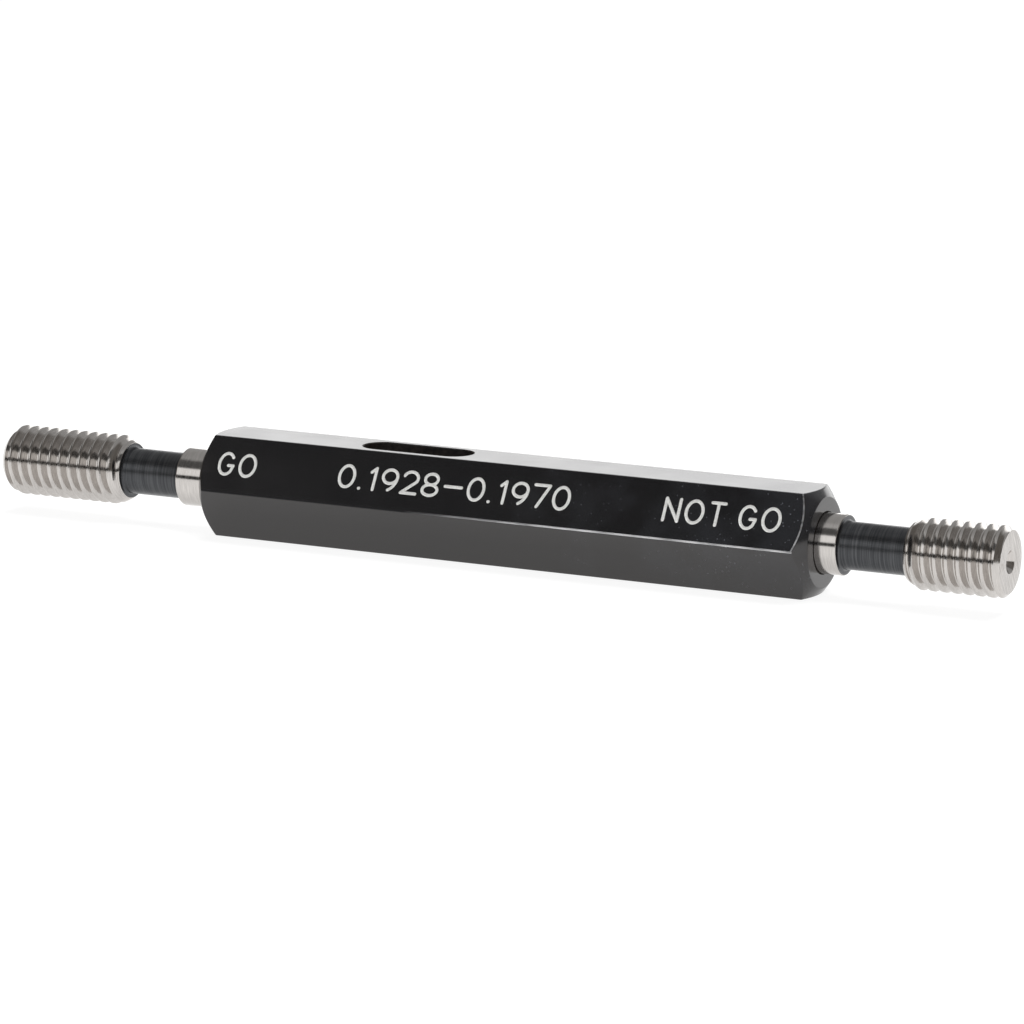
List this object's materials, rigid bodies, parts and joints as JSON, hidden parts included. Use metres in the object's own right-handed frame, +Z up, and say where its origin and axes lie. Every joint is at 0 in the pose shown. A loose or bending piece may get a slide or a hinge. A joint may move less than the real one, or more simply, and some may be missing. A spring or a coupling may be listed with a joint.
{
  "type": "thread plug gauge",
  "caption": "Double-ended thread plug gauge: a hexagonal handle holds a GO and a shorter NOT GO screw plug by taper shanks, to check a small internal thread",
  "frame": {"origin": "Middle of the overall length, on the handle's bottom flat, under the axis", "axes": "+X along the gauge from the GO tip to the NOT GO tip, +Z up out of the handle's top flat, +Y away from the lettered side"},
  "size_m": [0.0842, 0.0092, 0.0079],
  "materials": {
    "black_aluminium": "black anodised, glossy",
    "gauge_steel": "hardened and ground, necks blackened"
  },
  "bodies": {
    "root": {"handle": "black_aluminium", "go_member": "gauge_steel", "not_go_member": "gauge_steel"}
  },
  "joints": []
}
